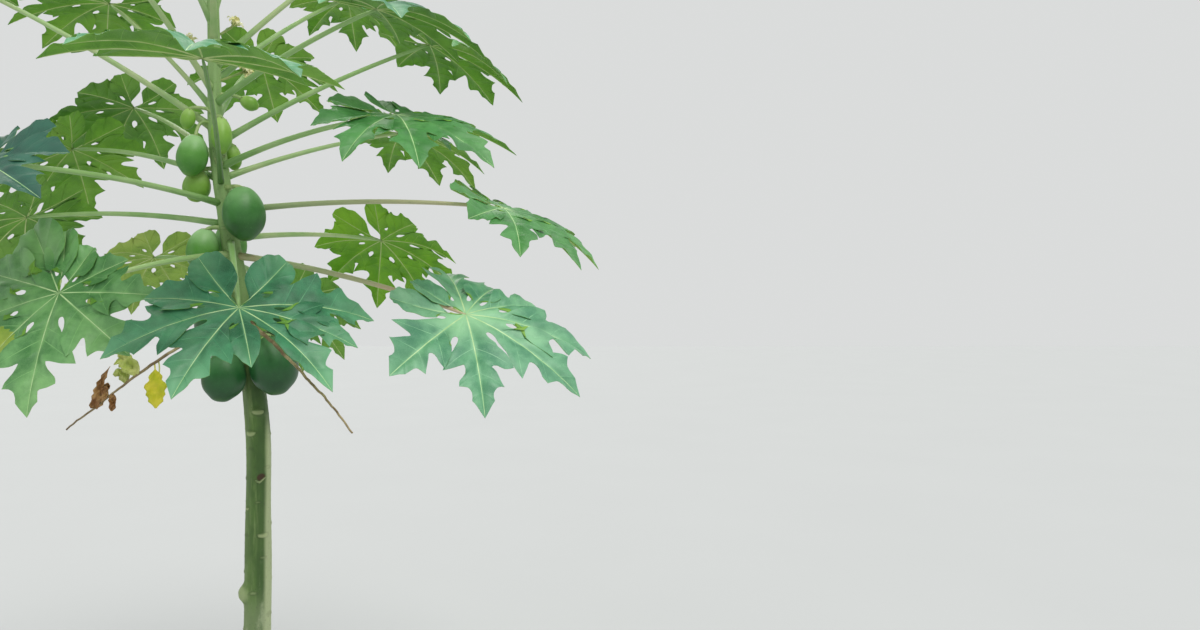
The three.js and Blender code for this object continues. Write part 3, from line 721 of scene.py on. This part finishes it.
# One colour with patches of a second, which are as strong as share says, finer with scale and
# begin where their noise passes low. grain: how fine the relief is.
def plainPaint(name, main, light, share=1, scale=30, low=0.35, grain=500, rough=0.5):
    paint = Paint(name)
    base = paint.coats(main, (paint.noise(scale, 3, 0.5).above(low, 0.65) * share, light))
    return paint.finish(base, rough, paint.noise(grain, 2, 0.5), 0.0004, 0.4)


# A stalk: its tone runs from low to high on its way out, with blushed patches and streaks
def stalkPaint(name, low, high, blush, amount):
    paint = Paint(name)
    _, far = paint.surface()
    streak, cloud, speck = paint.noise(60, 4, 0.6), paint.noise(9, 3, 0.5), paint.noise(330, 2, 0.5)
    base = paint.coats(low, (far.above(0.05, 0.8), high), (cloud.above(0.42, 0.68) * amount, blush),
                       (streak.above(0.55, 0.75) * 0.35, low))
    return paint.finish(base, 0.36 + streak * 0.16, streak * 0.6 + speck * 0.4, 0.0006, 0.4)


# height of the middle, azimuth, width, length, gap to the trunk, colouring
fruits = [
    (1.338, -122, 0.112, 0.13, 0.003, "dark"), (1.368, -32, 0.128, 0.156, 0.003, "dark"),
    (1.372, 62, 0.116, 0.15, 0.003, "dark"), (1.438, 154, 0.104, 0.138, 0.003, "dark"),
    (1.492, -118, 0.114, 0.146, 0.003, "dark"), (1.52, 30, 0.11, 0.14, 0.003, "dark"),
    (1.556, 98, 0.09, 0.112, 0.004, "mid"), (1.68, -152, 0.086, 0.114, 0.004, "mid"),
    (1.704, 113, 0.092, 0.118, 0.004, "mid"), (1.778, -36, 0.111, 0.143, 0.008, "green"),
    (1.857, 188, 0.073, 0.084, 0.005, "light"), (1.934, -132, 0.08, 0.11, 0.008, "mid"),
    (1.99, -52, 0.056, 0.098, 0.004, "light"), (1.945, 58, 0.046, 0.07, 0.004, "light"),
    (2.032, -138, 0.038, 0.056, 0.032, "light"), (2.092, 20, 0.04, 0.05, 0.05, "light"),
]
fruit = {"splay": 10, "around": 40, "along": 34, "ridges": 5, "ridge": 0.014, "uneven": 0.016,
         "stalkRadius": 0.006, "stalkRise": 0.012, "sepals": 5, "sepalThickness": 0.0012, "seed": 699,
         # the point at one end and the dimple at the other, in shares of the length
         "tip": 0.05, "tipWidth": 0.045, "dimple": 0.05, "dimpleWidth": 0.02}
tallStalks = {12: 0.06}  # fruit that hangs from a stalk bent high above it
leans = {16: 66}  # fruit that points outwards


def spun(x, y, b):  # turned by an angle
    return x * cos(b) - y * sin(b), x * sin(b) + y * cos(b)


# A fruit: half its width follows a sine along its length, a little fuller towards the blossom end,
# with five faint ridges, a small point at the blossom end and a dimple round the stalk
def makeFruit(skins, stem, calyx):
    for n, node, rng, row in numbered("fruit", fruits, fruit["seed"]):
        height, azimuth, width, length, gap, look = row
        out = direction(azimuth, 0)
        bark = trunkRadius(height)
        centre = trunkCentre(height) + out * (bark + width / 2 + gap)
        lean = radians(leans.get(n, fruit["splay"]))
        axis = up * cos(lean) - out * sin(lean)
        side = np.cross(up, out)
        fore = np.cross(side, axis)

        def place(x, y, z):  # from the fruit's own axes
            return centre + axis * z[..., None] + fore * x[..., None] + side * y[..., None]

        s = np.linspace(0, pi, fruit["along"])
        share = 0.5 - 0.5 * np.cos(s)
        bulge = np.sin(s) ** 0.92 * (1 + 0.1 * np.cos(s))
        bulge = bulge / bulge.max()
        tip = fruit["tip"] * length * bell(share / fruit["tipWidth"])
        dimple = -fruit["dimple"] * length * bell((1 - share) / fruit["dimpleWidth"])
        around = circle(fruit["around"]) + rng.uniform(0, 6)
        turn, level = np.meshgrid(around, share)
        ridge = 1 + fruit["ridge"] * np.cos(fruit["ridges"] * turn) * np.sin(pi * level) ** 0.7
        uneven = 1 + fruit["uneven"] * np.sin(2 * turn + 4 * level + rng.uniform(0, 6))
        radius = width / 2 * bulge[:, None] * ridge * uneven / (1 + fruit["ridge"])
        rise = (share - 0.5) * length - tip + dimple
        points = place(np.cos(turn) * radius, np.sin(turn) * radius, rise[:, None])
        body = gridPart(points, 0, ringUv(around, share))

        top = centre + axis * 0.46 * length
        climb = tallStalks.get(n, fruit["stalkRise"])
        root = trunkCentre(top[2] + climb * 0.6)
        middle = root + (top - root) * 0.9 + up * climb
        # the stalk starts inside the bark: the share of the way out, then where the curve has it
        inside = min(0.75, 0.75 * bark / float(np.linalg.norm((top - root)[:2])))
        t = np.linspace((1.8 - sqrt(3.24 - 3.2 * inside)) / 1.6, 1, 14)
        path, tangents = bezier(root, middle, top, t)
        thick = fruit["stalkRadius"] * (0.7 if n in tallStalks else min(1, width / 0.08 + 0.3))
        swell = thick * (1 + 0.5 * np.exp(-(t - t[0]) / 0.05) + 0.45 * np.exp(-(1 - t) / 0.05))
        parts = [body, tube(path, tangents, swell, 10, 1, t)]

        # short sepals lie on the shoulder round the stalk
        m, w = strips(6, 5)
        reach, half = thick * (0.6 + 2.1 * m), thick * 0.75 * (1 - m**1.5)
        z = 0.49 * length - (reach / (width / 2)) ** 2 * length * 0.22 + 0.0012 * (1 - w**2)
        for k in range(fruit["sepals"]):
            b = 2 * pi * k / fruit["sepals"] + rng.uniform(-0.1, 0.1)
            sheet = place(*spun(reach, w * half, b), z)
            parts.append(closedSheet(sheet, sheet - axis * fruit["sepalThickness"], 2, flip=True))
        makePiece(f"{node}_skin", parts, [skins[look], stem, calyx], [node])
    print("fruit made")


# A fruit's skin: painted shade towards the blossom end, paler at the shoulder with its bloom and painted
# light, with pale dots
def skinPaint(name, main, deep, bloom, warm):
    paint = Paint(name)
    _, v = paint.surface()
    cloud, fine, dots = paint.noise(22, 4, 0.6), paint.noise(140, 3, 0.6), paint.cells(170)
    # painted light: deep below towards the blossom end as painted shade, the bloom tone above partly painted
    # light
    base = paint.coats(
        deep, (cloud.above(0.3, 0.75) * 0.35 + v.above(0.02, 0.6) * 0.65, main),
        ((v + cloud * 0.2).above(0.55, 1.02) * 0.85, bloom),
        ((v + cloud * 0.1).below(0.03, 0.12) * 0.4, warm),
        (dots.below(0.05, 0.16) * 0.35, bloom), (fine.above(0.6, 0.8) * 0.25, deep))
    return paint.finish(base, 0.34 + cloud * 0.18, dots.above(0, 0.2) * 0.4 + fine * 0.35, 0.0006, 0.35)


# height, azimuth, reach and rise of a cluster's stalk, and how many heads it has
flowers = [(2.14, 14, 0.062, 25, 4), (2.2, -150, 0.045, 35, 2), (2.262, 20, 0.042, 38, 2)]
flower = {"petals": 5, "length": 0.024, "half": 0.0072, "petalThickness": 0.0007, "teeth": 5,
          "toothLength": 0.008, "toothThickness": 0.0005, "tube": 0.015, "tubeRadius": 0.0048,
          "stalkRadius": 0.0028, "branch": 0.012, "overlap": 0.002, "seed": 899,
          # the heads of a cluster: turn and rise from the stalk's own, and size
          "heads": [(0, 5, 1.0), (-62, 14, 0.92), (48, -16, 0.86), (-20, -48, 0.8)]}


# One flower: a tube, green teeth round its foot, and petals that widen and round off, curl back
# with the cube of their length and twist
def flowerHead(base, forward, size, rng):
    side = unit(np.cross(up, forward))
    axes = np.stack([side, np.cross(forward, side), forward]) * size

    def place(x, y, z):  # from the head's own axes
        return base + np.stack(np.broadcast_arrays(x, y, z), -1) @ axes

    s = np.linspace(0, 1, 12)
    neck = size * flower["tubeRadius"] * (0.75 + 0.4 * np.sin(pi * s * 0.8))
    parts = [tube(place(0, 0, s * flower["tube"] - sunk), forward, neck, 12, 0, s)]
    m, w = strips(5, 4)
    far = flower["tubeRadius"] * (1 + 0.35 * np.sin(pi * m))
    for k in range(flower["teeth"]):
        turn = 2 * pi * k / flower["teeth"] + 0.3 + w * 0.5 * (1 - m)
        z = m * flower["toothLength"] - flower["overlap"]
        sheet, back = (place(np.cos(turn) * r, np.sin(turn) * r, z)
                       for r in (far, far - flower["toothThickness"]))
        parts.append(closedSheet(sheet, back, 1))
    m, w = strips(11, 6)
    cross = w * flower["half"] * np.sin(pi * np.clip(0.12 + 0.86 * m, 0, 1)) ** 0.6
    out = flower["tubeRadius"] * 0.5 + flower["length"] * (m - 0.28 * m**3)
    for k in range(flower["petals"]):
        b = 2 * pi * k / flower["petals"]
        fall = flower["tube"] * 0.72 + 0.006 * np.sin(pi * m * 0.6) - 0.009 * m**3
        z = fall + rng.uniform(-0.001, 0.001) + cross * np.sin(0.7 * m) + 0.0012 * w**2
        x, y = spun(out, cross * np.cos(0.7 * m), b)
        sheet, back = (place(x, y, z - depth) for depth in (0, flower["petalThickness"]))
        parts.append(closedSheet(sheet, back, 0, flip=True))
    return parts


# A cluster: a stalk out of the bark, and from its end a short branch to each head
def makeFlowers(cream, green):
    for _, node, rng, (height, azimuth, reach, rise, heads) in numbered("flower", flowers, flower["seed"]):
        radius = trunkRadius(height)
        t = np.linspace((radius - sunk) / (radius + reach), 1, 8)
        path, tangents = stalkPath(height, azimuth, rise, radius + reach, 0, t)
        parts = [tube(path, tangents, flower["stalkRadius"] * (1 + 0.35 * t), 8, 1, t)]
        for turn, lift, size in flower["heads"][:heads]:
            forward = direction(azimuth + turn, rise + lift)
            branch = path[-1] + np.outer(np.linspace(-flower["overlap"], flower["branch"], 5), forward)
            parts.append(tube(branch, forward, flower["stalkRadius"] * 0.8, 8, 1))
            parts += flowerHead(branch[-1], forward, size, rng)
        makePiece(f"{node}_bloom", parts, [cream, green], [node])
    print("flowers made")


# rests of leaves on the second dry stalk: start along it, way to the end, bow, width, fold, crumple,
# look (1 brown, 2 pale, 3 yellow), and the share of the width at even steps along it
leafRests = [
    (0.83, (0.046, -0.008, 0.112), (-0.012, 0, 0.008), 0.026, 1.1, 0.4, 1,
     [0.6, 1, 0.7, 0.95, 0.6, 0.9, 0.5, 0.8, 0.4, 0.6, 0.3, 0.1, 0.05]),
    (0.83, (0.034, -0.014, 0.06), (0.014, 0, 0.004), 0.026, -0.9, 0.42, 1, [0.4, 1, 0.6, 1, 0.5, 0.8, 0.3]),
    (0.79, (0.022, -0.004, 0.05), (-0.002, 0, 0.012), 0.022, 0.4, 0.5, 1, [0.5, 0.8, 1, 0.6, 0.9, 0.4]),
    (0.74, (0.004, -0.01, -0.046), (0.006, 0, 0), 0.02, 0.9, 0.4, 1, [0.3, 0.8, 1, 0.7, 0.9, 0.2]),
    (0.6, (-0.052, 0.004, 0.046), (0.004, 0, 0.018), 0.046, 0.9, 0.2, 2,
     [0.3, 0.8, 1, 0.8, 1, 0.6, 0.9, 0.3]),
    (0.66, (-0.03, -0.006, 0.02), (0.004, 0, 0.03), 0.03, -0.7, 0.25, 2, [0.3, 1, 0.7, 0.9, 0.3]),
    (0.48, (0.004, -0.004, -0.034), (0.004, 0, 0), 0.0036, 0.3, 0, 2, [1, 1, 1]),
    (0.485, (0.006, -0.006, -0.122), (0.004, 0, 0), 0.058, 0.42, 0.12, 3,
     [0.06, 0.06, 0.06, 0.4, 0.62, 0.5, 0.9, 1, 0.72, 0.86, 0.6, 0.66, 0.3, 0.08]),
]
# height, azimuth, rise and length of a dry stalk, and what hangs on it
dryStalks = [(1.49, -48, -21, 0.7, []), (1.512, 196, -36, 0.535, leafRests)]
dry = {"steps": 48, "sides": 10, "wander": 0.0009, "wrinkle": 0.12, "restThickness": 0.0007, "seed": 959}


# What is left of a leaf: a strip along a path, as wide at each point as its profile says, folded
# along the middle and crumpled by two waves
def limpStrip(path, profile, width, fold, crumple, rng, look):
    s, w = strips(len(path), 9)
    tangents = unit(np.gradient(path, axis=0))
    side = unit(np.cross(tangents, [0.38, -0.92, 0.0]))
    normal = np.cross(side, tangents)
    half = width / 2 * np.interp(s, np.linspace(0, 1, len(profile)), profile)
    wave = np.sin(11 * s + 3 * w + rng.uniform(0, 6)) + 0.7 * np.sin(26 * s - 6 * w + rng.uniform(0, 6))
    flat = path[:, None] + side[:, None] * (w * half)[..., None]
    flat = flat + normal[:, None] * ((fold * np.abs(w) + crumple * wave) * half)[..., None]
    return closedSheet(flat, flat - normal[:, None] * dry["restThickness"], look)


# Dry stalks: thin tubes whose radius shrinks in wrinkles and whose path wanders a little
def makeDryStalks(materials):
    steps, sides = dry["steps"], dry["sides"]
    for _, node, rng, (height, azimuth, rise, length, rests) in numbered("dry_stalk", dryStalks, dry["seed"]):
        t = np.linspace((trunkRadius(height) - sunk) / length, 1, steps)
        path, tangents = stalkPath(height, azimuth, rise, length, stalk["arch"], t)
        wander = np.cumsum(rng.normal(0, 1, (steps, 2)), 0)
        wander = (wander - np.linspace(0, 1, steps)[:, None] * wander[-1]) * dry["wander"]
        path = path + np.outer(wander[:, 0], direction(azimuth + 90, 0)) + wander[:, 1:] * up
        radii = 0.75 * stalkRadius(t) * (0.82 - 0.3 * t)
        wrinkle = 1 + dry["wrinkle"] * np.sin(3 * circle(sides)[None] + 9 * t[:, None])
        wrinkle = wrinkle + rng.uniform(-0.05, 0.05, (steps, sides))
        parts = [tube(path, tangents, radii[:, None] * wrinkle, sides, 0, t)]
        for where, way, bow, width, fold, crumple, look, profile in rests:
            base = path[np.abs(t - where).argmin()]
            middle = base + np.array(way) / 2 + np.array(bow)
            rest, _ = bezier(base, middle, base + np.array(way), np.linspace(0, 1, 28))
            parts.append(limpStrip(rest, profile, width, fold, crumple, rng, look))
        makePiece(f"{node}_bark", parts, materials, [node])
    print("dry stalks made")


# Dry stem: brown with pale patches and dark streaks
def dryPaint():
    paint = Paint("dryStem")
    streak, cloud, fine = paint.noise(70, 4, 0.65), paint.noise(14, 3, 0.6), paint.noise(300, 3, 0.6)
    base = paint.coats((118, 96, 68), (cloud.above(0.35, 0.65), (176, 160, 122)),
                       (streak.above(0.5, 0.75) * 0.6, (82, 62, 44)))
    return paint.finish(base, 0.7 + cloud * 0.2, streak * 0.6 + fine * 0.4, 0.001, 0.6)


# Colouring of a leaf: main, deep and light tone above, the same below, roughness and, where they
# are not 0.2 and 0.12, how much paler the ends of its lobes and its middle are, as painted light
# the tones below are partly the underside's own paler green and partly painted light shining through the leaf
leafTones = {
    "ripe": ([(60, 136, 94), (28, 96, 62), (126, 189, 139)],
             [(108, 166, 52), (84, 139, 40), (143, 190, 80)], 0.42, 0.5),
    # lighter and yellower: partly the leaf's own tone and partly painted sunlight on it
    "warm": ([(120, 177, 108), (70, 129, 69), (158, 208, 134)],
             [(114, 168, 54), (88, 143, 42), (146, 191, 80)], 0.42),
    # a darker, bluer copy of the leaf colour: painted shade
    "shade": ([(42, 102, 82), (28, 79, 65), (70, 128, 106)],
              [(100, 157, 50), (78, 132, 40), (134, 183, 78)], 0.42),
    # a paler copy of the leaf colour with a much paler middle: painted highlight
    "bloom": ([(104, 167, 125), (66, 132, 98), (174, 228, 176)],
              [(118, 169, 58), (92, 145, 46), (150, 191, 84)], 0.4, 0.15, 0.75),
    "fresh": ([(78, 147, 76), (50, 115, 52), (122, 183, 108)],
              [(112, 172, 46), (88, 145, 36), (149, 194, 70)], 0.42),
    "young": ([(104, 162, 78), (78, 136, 58), (146, 190, 102)],
              [(131, 184, 60), (104, 159, 48), (166, 206, 86)], 0.44),
    "lime": ([(92, 152, 48), (66, 124, 40), (132, 182, 70)],
             [(116, 180, 26), (92, 155, 22), (153, 204, 48)], 0.44),
    "old": ([(164, 190, 74), (134, 166, 60), (204, 210, 100)],
            [(154, 190, 80), (126, 166, 64), (196, 210, 112)], 0.5),
}
stalkTones = {  # near the trunk, near the leaf, blush, amount of blush
    "Green": ((124, 166, 96), (152, 190, 118), (180, 204, 146), 0.5),
    "Pale": ((140, 178, 108), (172, 202, 138), (198, 206, 158), 0.55),
    "Pink": ((150, 172, 120), (196, 192, 152), (210, 176, 148), 0.7),
    # a darker stalk colour for a stalk in shade: painted shade
    "Dark": ((80, 122, 58), (108, 148, 78), (128, 160, 96), 0.4),
}
# towards the blossom end is painted shade; bloom on the shoulder is partly the skin's bloom and partly
# painted light
skinTones = {  # main, towards the blossom end, bloom on the shoulder, round the blossom end
    # the low fruit's skin darkened for the shade they hang in: painted shade
    "dark": ((46, 108, 56), (22, 70, 32), (92, 146, 94), (88, 128, 58)),
    "green": ((69, 132, 60), (29, 82, 29), (130, 182, 118), (92, 132, 56)),
    "mid": ((100, 162, 69), (69, 130, 47), (172, 216, 154), (140, 172, 70)),
    "light": ((138, 184, 72), (110, 160, 58), (176, 212, 122), (180, 198, 86)),
}


# Materials of a blade and its side veins, above and below; the tones below are brighter and yellower, partly
# as painted light shining through the blade
def colouring(name, top, under, rough, paintedLightEnds=0.2, paintedHighlightMiddle=0.12):
    return (leafPaint(f"leaf{name}Top", top, rough, paintedLightEnds, paintedHighlightMiddle),
            plainPaint(f"vein{name}Top", top[0], top[2], 0.5),
            leafPaint(f"leaf{name}Under", under, rough + 0.14, 0.1, 0, 1.2),
            plainPaint(f"vein{name}Under", under[0], under[2]))


makeTrunk(barkPaint())
makeLeaves({name: colouring(name.title(), *look) for name, look in leafTones.items()},
           plainPaint("ribTop", (168, 208, 144), (204, 230, 174)),
           plainPaint("ribUnder", (176, 202, 118), (204, 220, 152)),
           [stalkPaint(f"leafStalk{name}", *look) for name, look in stalkTones.items()])
calyx = plainPaint("calyxGreen", (132, 160, 88), (168, 180, 112))
makeFruit({name: skinPaint(f"fruit{name.title()}", *look) for name, look in skinTones.items()},
          plainPaint("fruitStem", (150, 178, 110), (186, 204, 142)), calyx)
makeFlowers(plainPaint("creamPetal", (246, 240, 196), (226, 222, 140), 1, 60, 0.4, 420, 0.55), calyx)
makeDryStalks([dryPaint(), plainPaint("witheredBrown", (142, 98, 56), (190, 150, 98)),
               plainPaint("witheredPale", (176, 190, 96), (204, 208, 128)),
               plainPaint("witheredYellow", (196, 198, 36), (228, 216, 62))])

studio = {
    "floorHalf": 40.0, "sky": (0.94, 0.955, 0.95, 1), "skyStrength": 0.75,
    # soft suns: towards the light, width in degrees, strength, colour
    "suns": {"keySun": ((0.4, -0.5, 1.0), 35, 1.7, (1.0, 0.99, 0.95)),
             "backSun": ((-0.5, 0.8, 0.75), 40, 1.0, (1.0, 1.0, 0.93))},
    "eye": (0.946, -2.4, 1.5), "lens": 26.19, "sensor": 36,  # the photo's viewpoint, level
}


# A pale floor, an even sky, two soft suns and the photo's viewpoint
def makeStudio():
    scene, half = bpy.context.scene, studio["floorHalf"]
    floorMesh = bpy.data.meshes.new("studio_floor")
    corners = [(-half, -half, 0), (half, -half, 0), (half, half, 0), (-half, half, 0)]
    floorMesh.from_pydata(corners, [], [(0, 1, 2, 3)])
    floor = placeObject("studio_floor", floorMesh)
    paint = Paint("paleFloor")
    pale = paint.coats((185, 187, 188), (paint.noise(0.8, 2, 0.5), (188, 190, 191)))
    floorMesh.materials.append(paint.finish(pale, 0.9))

    world = bpy.data.worlds.new("softSky")
    scene.world = world
    world.use_nodes = True
    background = world.node_tree.nodes["Background"]
    background.inputs["Color"].default_value = studio["sky"]
    background.inputs["Strength"].default_value = studio["skyStrength"]
    for name, ((x, y, z), width, strength, colour) in studio["suns"].items():
        light = bpy.data.lights.new(name, "SUN")
        light.angle, light.energy, light.color = radians(width), strength, colour
        placeObject(name, light).rotation_euler = (atan2(hypot(x, y), z), 0, atan2(x, -y))

    view = bpy.data.cameras.new("photoView")
    view.sensor_fit, view.sensor_width, view.lens = "HORIZONTAL", studio["sensor"], studio["lens"]
    view.clip_end = 100
    camera = placeObject("photoView", view)
    camera.location = studio["eye"]
    camera.rotation_euler = (pi / 2, 0, 0)
    scene.camera = camera
    scene.view_settings.view_transform = "Standard"
    print("studio set")


makeStudio()
